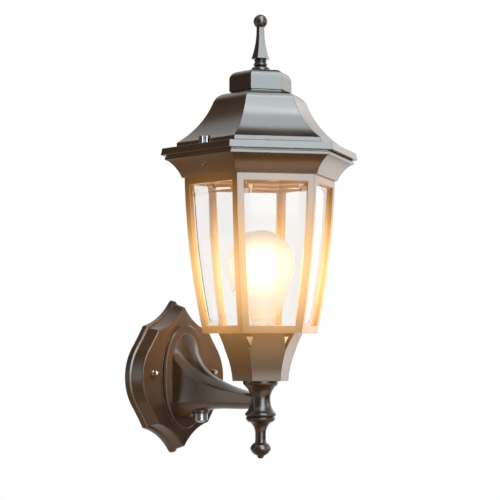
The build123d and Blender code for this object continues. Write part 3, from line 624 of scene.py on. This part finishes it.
class LANTERN_OT_panes(bpy.types.Operator):
    """Six bowed panes of clear drawn glass, each with a ground bevel round its rim"""

    bl_idname = "lantern.panes"
    bl_label = "Panes"

    def execute(self, context):
        panes = context.scene.lantern.panes
        glass = self.glass(panes)
        points, faces = self.pane(panes)
        for name, turn in PANE_TURNS.items():
            angle = math.radians(turn)
            spin = np.array(
                [[math.cos(angle), -math.sin(angle), 0], [math.sin(angle), math.cos(angle), 0], [0, 0, 1]]
            )
            placed = points @ spin.T + np.array([0, axis_place.y, 0])
            piece = new_piece("glass_" + name, placed, faces, glass, "wall_body", crease=5.0)
            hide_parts("pane_" + name)
            piece.visible_shadow = False
        return {"FINISHED"}

    def pane(self, panes):
        """Grid over a share across and a height: the front is the cage's arc less inset, bevel and waves.

        The bevel takes off depth in step with the nearness of the rim, and the waves are sines across the
        pane.
        """
        foot, crown = cage_low.z, cage_high.z
        top_half = (cage_high.x - cage_low.x) / 2
        belly = foot + panes.belly_share * (crown - foot)
        side = math.tan(math.pi / 6)
        halves = (panes.foot_half, panes.belly_half, top_half)
        levels = (foot, belly, crown)
        edge = panes.lap - panes.stile
        low, high = foot + panes.rail - panes.lap, crown - panes.rail + panes.lap
        middle, reach = (low + high) / 2, (high - low) / 2
        up = spread_steps(reach, panes.bevel_width, PANE_ROWS)
        z = (middle + reach * up)[:, None]
        half = bowed(z, *[(wide * side + edge, level) for wide, level in zip(halves, levels)])
        across = spread_steps(float(half.mean()), panes.bevel_width, PANE_COLUMNS)[None, :]
        y = across * half
        front = bowed(z, *zip(halves, levels)) - panes.inset
        near_side = np.minimum(half - np.abs(y), reach - np.abs(z - middle))
        bevel = panes.bevel_depth * np.clip(1 - near_side / panes.bevel_width, 0, 1)
        waves = sum(share * np.sin(y * wide + start + tall * z) for share, wide, start, tall in PANE_WAVES)
        highest = sum(wave[0] for wave in PANE_WAVES)
        flat = np.clip(near_side / panes.bevel_width - 1, 0, 1)
        outer = front - bevel + panes.wave_depth * flat * (waves - highest) / 2
        inner = np.broadcast_to(front - panes.thick, y.shape)
        z = np.broadcast_to(z, y.shape)
        front_grid = np.stack([outer, y, z], axis=-1).reshape(-1, 3)
        back_grid = np.stack([inner, y, z], axis=-1).reshape(-1, 3)
        return np.concatenate([front_grid, back_grid]), sheet_faces(*y.shape)

    def glass(self, panes):
        """Clear glass with a faint uneven surface."""
        made, tree, shader = new_material("drawn_glass")
        skin = shared(tree, "skin", Drift_Scale=40.0, Grain_Scale=220.0)
        gloss = add_node(tree, "ShaderNodeMapRange", Value=skin.outputs["Tone"], To_Min=0.0, To_Max=0.03)
        bump = add_node(
            tree, "ShaderNodeBump", Strength=0.03, Distance=GRAIN_DEPTH, Height=skin.outputs["Height"]
        )
        put(tree, mixed(tree, skin.outputs["Tone"], panes.grey, panes.clear), shader, "Base Color")
        put(tree, gloss.outputs["Result"], shader, "Roughness")
        put(tree, bump.outputs["Normal"], shader, "Normal")
        shader.inputs["Transmission Weight"].default_value = 1.0
        shader.inputs["IOR"].default_value = panes.refraction
        return made


class LANTERN_OT_bulb(bpy.types.Operator):
    """Lit clear bulb with its metal cap, contact and strips"""

    bl_idname = "lantern.bulb"
    bl_label = "Bulb"

    def execute(self, context):
        bulb = context.scene.lantern.bulb
        wear(self.glass(bulb), "bulb_globe")
        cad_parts["bulb_globe"].visible_shadow = False
        cap = finish(
            "bulb_cap_metal",
            low=(0.62, 0.62, 0.63),
            high=(0.74, 0.74, 0.75),
            roughness=0.3,
            spread=0.06,
            grain=0.1,
            Metallic=1.0,
        )
        wear(cap, "bulb_cap")
        tip = finish(
            "bulb_contact",
            low=(0.02, 0.02, 0.022),
            high=(0.05, 0.05, 0.05),
            roughness=0.3,
            spread=0.05,
            grain=0.05,
        )
        wear(tip, "bulb_tip")
        strips = finish(
            "glowing_strips",
            low=(0.90, 0.86, 0.79),
            high=(0.95, 0.92, 0.87),
            roughness=0.5,
            spread=0.05,
            grain=0.05,
        )
        add_emitted_glow(strips, bulb, bulb.bloom, bulb.core, bulb.glow)
        wear(strips, "bulb_filament")
        self.light(bulb)
        return {"FINISHED"}

    def light(self, bulb):
        """A round light in the middle of the globe, which moves with the bulb and lights what is round it."""
        light = bpy.data.lights.new("lamp_light", "POINT")
        light.color = bulb.cast
        light.energy = bulb.watts
        light.shadow_soft_size = bulb.radius
        lamp = bpy.data.objects.new("lamp_light", light)
        bpy.context.scene.collection.objects.link(lamp)
        lamp.location = (axis_place.x, axis_place.y, bulb.level)
        lamp.visible_camera = False
        lamp.visible_glossy = False
        lamp.visible_transmission = False
        lit = bpy.data.collections.new("lit_by_lamp")
        for name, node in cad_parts.items():
            if not name.startswith("bulb_"):
                lit.objects.link(node)
        lamp.light_linking.receiver_collection = lit
        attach(lamp, "bulb")

    def glass(self, bulb):
        """Warm clear glass with a bloom that is brightest at the strips and fades towards the globe's rim."""
        made = finish(
            "bulb_glass",
            low=(0.99, 0.975, 0.95),
            high=(0.995, 0.985, 0.965),
            roughness=0.05,
            spread=0.03,
            grain=0.02,
            Transmission_Weight=1.0,
            IOR=1.1,
        )
        tree = made.node_tree
        shader = tree.nodes["Principled BSDF"]
        split = add_node(tree, "ShaderNodeSeparateXYZ", Vector=object_place(tree))
        distance = calc(tree, "ABSOLUTE", calc(tree, "SUBTRACT", split.outputs["Z"], bulb.level))
        near = add_node(
            tree,
            "ShaderNodeMapRange",
            interpolation_type="SMOOTHSTEP",
            Value=distance,
            From_Min=bulb.bloom_full,
            From_Max=bulb.bloom_end,
            To_Min=1.0,
            To_Max=0.0,
        )
        rim = add_node(tree, "ShaderNodeLayerWeight", Blend=0.5)
        facing = calc(tree, "SUBTRACT", 1.0, rim.outputs["Facing"])
        soft = calc(tree, "POWER", facing, bulb.rim_fade)
        both = calc(tree, "MULTIPLY", near.outputs["Result"], soft)
        put(tree, mixed(tree, both, bulb.halo, bulb.glow), shader, "Emission Color")
        put(tree, calc(tree, "MULTIPLY", both, bulb.bloom), shader, "Emission Strength")
        return made


class LANTERN_OT_lamp_holder(bpy.types.Operator):
    """Glazed lamp holder, all brass pieces and the wires in the bracket"""

    bl_idname = "lantern.lamp_holder"
    bl_label = "Lamp holder"

    def execute(self, context):
        porcelain = finish(
            "glazed_porcelain",
            low=(0.78, 0.76, 0.71),
            high=(0.86, 0.85, 0.81),
            roughness=0.16,
            spread=0.05,
            grain=0.03,
            edge=0.6 * MM,
            Coat_Weight=0.5,
        )
        wear(porcelain, "lamp_holder")
        brass = finish(
            "bare_brass",
            low=(0.60, 0.42, 0.18),
            high=(0.76, 0.57, 0.27),
            roughness=0.28,
            spread=0.08,
            grain=0.1,
            Metallic=1.0,
        )
        wear(brass, "screw_shell", "centre_contact", "crown_inserts")
        sleeve = finish(
            "wire_sleeve",
            low=(0.03, 0.03, 0.032),
            high=(0.06, 0.06, 0.062),
            roughness=0.5,
            spread=0.06,
            grain=0.1,
        )
        wear(sleeve, "lamp_leads", "photocell_leads")
        return {"FINISHED"}


class LANTERN_OT_sensor(bpy.types.Operator):
    """Dusk sensor under the arm"""

    bl_idname = "lantern.sensor"
    bl_label = "Dusk sensor"

    def execute(self, context):
        silver = finish(
            "sensor_silver",
            low=(0.16, 0.16, 0.165),
            high=(0.28, 0.28, 0.285),
            roughness=0.24,
            spread=0.06,
            grain=0.08,
            Metallic=0.9,
        )
        wear(silver, "photocell_body")
        ring = finish(
            "sensor_ring_black",
            low=(0.02, 0.02, 0.021),
            high=(0.035, 0.035, 0.036),
            roughness=0.38,
            spread=0.06,
            grain=0.1,
        )
        wear(ring, "photocell_ring", "photocell_nut")
        lens = finish(
            "sensor_lens",
            low=(0.80, 0.83, 0.86),
            high=(0.92, 0.94, 0.95),
            roughness=0.08,
            spread=0.03,
            grain=0.02,
            Coat_Weight=1.0,
        )
        wear(lens, "photocell_lens")
        return {"FINISHED"}


class LANTERN_OT_fittings(bpy.types.Operator):
    """Straps, studs, screws, nuts, washers, clips, thumbscrews and terminal block"""

    bl_idname = "lantern.fittings"
    bl_label = "Fittings"

    def execute(self, context):
        zinc = finish(
            "zinc_steel",
            low=(0.46, 0.47, 0.48),
            high=(0.66, 0.67, 0.68),
            roughness=0.34,
            spread=0.09,
            grain=0.15,
            Metallic=1.0,
        )
        wear(zinc, "box_strap", "stud_strap", "strap_screw", "mounting_studs", "stud_lock_nuts", "arm_screws")
        wear(zinc, "calyx_screws", "crown_screws", "pane_clips", "lamp_pipe", "pipe_nut", "pipe_washer")
        wear(zinc, "finial_stud", "finial_nut", "finial_washer", "lower_finial_stud")
        nickel = finish(
            "knurled_nickel",
            low=(0.10, 0.10, 0.10),
            high=(0.20, 0.20, 0.195),
            roughness=0.20,
            spread=0.06,
            grain=0.08,
            Metallic=1.0,
        )
        wear(nickel, "thumbscrew_left", "thumbscrew_right")
        nylon = finish(
            "nylon",
            low=(0.62, 0.61, 0.57),
            high=(0.74, 0.73, 0.69),
            roughness=0.45,
            spread=0.05,
            grain=0.08,
        )
        wear(nylon, "thumb_washer_left", "thumb_washer_right")
        green = finish(
            "earth_screw_green",
            low=(0.03, 0.20, 0.07),
            high=(0.05, 0.30, 0.11),
            roughness=0.4,
            spread=0.06,
            grain=0.1,
            Metallic=0.4,
        )
        wear(green, "ground_screw")
        block = finish(
            "terminal_plastic",
            low=(0.68, 0.67, 0.64),
            high=(0.78, 0.77, 0.74),
            roughness=0.45,
            spread=0.06,
            grain=0.08,
        )
        wear(block, "terminal_block")
        return {"FINISHED"}


class LANTERN_OT_seals(bpy.types.Operator):
    """Rubber seals behind the plate and under the roof"""

    bl_idname = "lantern.seals"
    bl_label = "Seals"

    def execute(self, context):
        rubber = finish(
            "black_rubber",
            low=(0.012, 0.012, 0.012),
            high=(0.03, 0.03, 0.03),
            roughness=0.62,
            spread=0.08,
            grain=0.25,
        )
        wear(rubber, "wall_gasket", "roof_gasket")
        return {"FINISHED"}


class LANTERN_OT_stage(bpy.types.Operator):
    """Pale floor, white surroundings, soft studio lights and the camera"""

    bl_idname = "lantern.stage"
    bl_label = "Stage"

    def execute(self, context):
        stage = context.scene.lantern.stage
        context.scene.view_settings.view_transform = "Standard"
        self.camera(context, stage)
        self.surroundings(context, stage)
        self.floor(stage)
        for name, numbers in SOFTBOXES.items():
            self.softbox(name, *numbers, gloss=name != MATT_LIGHT)
        for name, numbers in FLAGS.items():
            self.flag(name, *numbers)
        return {"FINISHED"}

    def camera(self, context, stage):
        """Camera at its place, with its heading and tilt."""
        camera = bpy.data.objects.new("camera", bpy.data.cameras.new("camera"))
        context.scene.collection.objects.link(camera)
        camera.location = stage.camera_place
        camera.rotation_euler = (math.pi / 2 + stage.camera_pitch, 0, stage.camera_turn)
        camera.data.lens = stage.lens
        camera.data.sensor_width = 36.0
        camera.data.clip_start = 0.01
        context.scene.camera = camera

    def seen_directly(self, tree):
        """One where a ray comes from the camera, a gloss or a glass, else nought."""
        path = tree.nodes.new("ShaderNodeLightPath")
        first = calc(tree, "MAXIMUM", path.outputs["Is Camera Ray"], path.outputs["Is Glossy Ray"])
        return calc(tree, "MAXIMUM", first, path.outputs["Is Transmission Ray"])

    def surroundings(self, context, stage):
        """White where it is seen or mirrored, and a softer light on what is matt."""
        world = bpy.data.worlds.new("surroundings")
        context.scene.world = world
        world.use_nodes = True
        tree = world.node_tree
        seen = self.seen_directly(tree)
        strength = add_node(tree, "ShaderNodeMapRange", Value=seen, To_Min=stage.room, To_Max=1.0)
        background = tree.nodes["Background"]
        background.inputs["Color"].default_value = (1, 1, 1, 1)
        put(tree, strength.outputs["Result"], background, "Strength")

    def floor(self, stage):
        """A wide pale floor that keeps a shadow, runs into the white further out and is clear from below."""
        level = cad_box[0][2] - stage.floor_drop
        half_size = 12.0
        material, tree, shader = new_material("pale_floor")
        shader.inputs["Base Color"].default_value = (0.86, 0.86, 0.85, 1)
        shader.inputs["Roughness"].default_value = 0.7
        glow = add_node(tree, "ShaderNodeEmission")
        level_place = vector_calc(tree, "MULTIPLY", object_place(tree), (1, 1, 0))
        fade = add_node(
            tree,
            "ShaderNodeMapRange",
            interpolation_type="SMOOTHSTEP",
            Value=vector_calc(tree, "LENGTH", level_place),
            From_Min=0.3,
            From_Max=1.2,
            To_Min=0.55,
        )
        share = calc(tree, "MULTIPLY", fade.outputs["Result"], self.seen_directly(tree))
        upper = blended(tree, share, shader.outputs["BSDF"], glow.outputs["Emission"])
        side = add_node(tree, "ShaderNodeNewGeometry")
        clear = add_node(tree, "ShaderNodeBsdfTransparent")
        one_way = blended(tree, side.outputs["Backfacing"], upper, clear.outputs["BSDF"])
        put(tree, one_way, tree.nodes["Material Output"], "Surface")
        floor = new_sheet("floor", [(x * half_size, y * half_size, level) for x, y in CORNER_SIGNS], material)

    def away(self, heading, height):
        """Direction from the lantern by a heading, from the front to the right, and a height, in degrees."""
        heading, height = math.radians(heading), math.radians(height)
        return Vector(
            (math.sin(heading) * math.cos(height), -math.cos(heading) * math.cos(height), math.sin(height))
        )

    def flag(self, name, heading, height, distance, width, tall, tint):
        """A dull card that only shows as a darker reflection in glossy surfaces."""
        away = self.away(heading, height)
        aside = away.cross(Vector((0, 0, 1))).normalized()
        upward = aside.cross(away)
        middle = axis_place + distance * away
        corners = [middle + aside * x * width / 2 + upward * y * tall / 2 for x, y in CORNER_SIGNS]
        dull, _, shader = new_material(name)
        shader.inputs["Base Color"].default_value = (0, 0, 0, 1)
        shader.inputs["Specular IOR Level"].default_value = 0.0
        shader.inputs["Emission Color"].default_value = colour(tint)
        shader.inputs["Emission Strength"].default_value = 1.0
        card = new_sheet(name, corners, dull)
        card.visible_camera = False
        card.visible_diffuse = False
        card.visible_transmission = False
        card.visible_shadow = False

    def softbox(self, name, heading, height, distance, width, tall, brightness, tint, gloss):
        """A rectangular light at a heading and a height, which shows as a gloss or lights matt surfaces."""
        away = self.away(heading, height)
        light = bpy.data.lights.new(name, "AREA")
        light.shape = "RECTANGLE"
        light.size = width
        light.size_y = tall
        light.color = tint
        light.energy = brightness * math.pi * width * tall
        box = bpy.data.objects.new(name, light)
        bpy.context.scene.collection.objects.link(box)
        box.location = axis_place + distance * away
        box.rotation_euler = (-away).to_track_quat("-Z", "Y").to_euler()
        box.visible_camera = False
        box.visible_transmission = False
        box.visible_glossy = gloss
        box.visible_diffuse = not gloss


class LANTERN_PT_panel(bpy.types.Panel):
    """Steps of the lantern in the sidebar"""

    bl_idname = "LANTERN_PT_panel"
    bl_label = "Wall lantern"
    bl_space_type = "VIEW_3D"
    bl_region_type = "UI"
    bl_category = "Lantern"

    def draw(self, context):
        settings = context.scene.lantern
        for step in STEPS:
            self.layout.operator(step.bl_idname)
        for group in (settings.bronze, settings.panes, settings.bulb, settings.stage):
            box = self.layout.box()
            for key in group.bl_rna.properties.keys():
                if key not in ("rna_type", "name"):
                    box.prop(group, key)


STEPS = (
    LANTERN_OT_stage,
    LANTERN_OT_castings,
    LANTERN_OT_panes,
    LANTERN_OT_bulb,
    LANTERN_OT_lamp_holder,
    LANTERN_OT_sensor,
    LANTERN_OT_fittings,
    LANTERN_OT_seals,
)
GROUPS = (BronzeSettings, PaneSettings, BulbSettings, StageSettings, LanternSettings)
CLASSES = GROUPS + STEPS + (LANTERN_PT_panel,)


def register():
    """Adds the classes and the scene's settings."""
    for item in CLASSES:
        bpy.utils.register_class(item)
    bpy.types.Scene.lantern = PointerProperty(type=LanternSettings)


def unregister():
    """Takes the settings and the classes away."""
    del bpy.types.Scene.lantern
    for item in reversed(CLASSES):
        bpy.utils.unregister_class(item)


def main():
    """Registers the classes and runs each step."""
    register()
    for step in STEPS:
        area, action = step.bl_idname.split(".")
        getattr(getattr(bpy.ops, area), action)()


if __name__ == "__main__":
    main()
